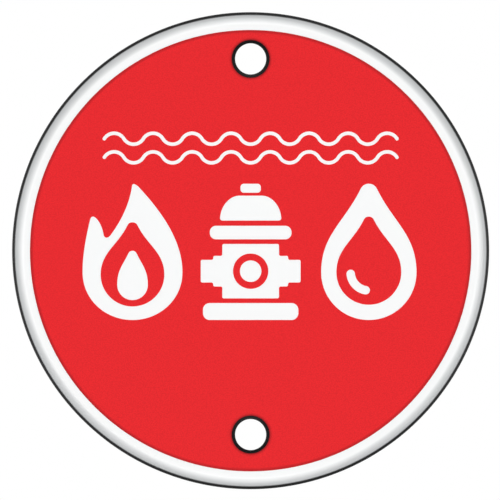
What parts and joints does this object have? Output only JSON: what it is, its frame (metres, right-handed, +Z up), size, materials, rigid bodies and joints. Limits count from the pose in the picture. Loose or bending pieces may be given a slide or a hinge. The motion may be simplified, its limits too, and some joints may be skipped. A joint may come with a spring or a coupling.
{
  "type": "fire hydrant marker plate",
  "caption": "Round pressed steel marker plate with a rolled rim, red sheeting with white pictograms on its face, and fixing holes at top and bottom.",
  "frame": {"origin": "midway between the centres of the two fixing holes, on the flat back of the sheet", "axes": "+Z up along the line of the two fixing holes, -Y out of the red face towards the viewer, +Y out of the back, +X to the viewer's right"},
  "size_m": [0.3999, 0.0148, 0.4],
  "materials": {
    "white_enamel": "gloss",
    "red_sheeting": "gloss"
  },
  "bodies": {
    "root": {"sign_plate": "white_enamel", "red_sheeting": "red_sheeting"}
  },
  "joints": []
}
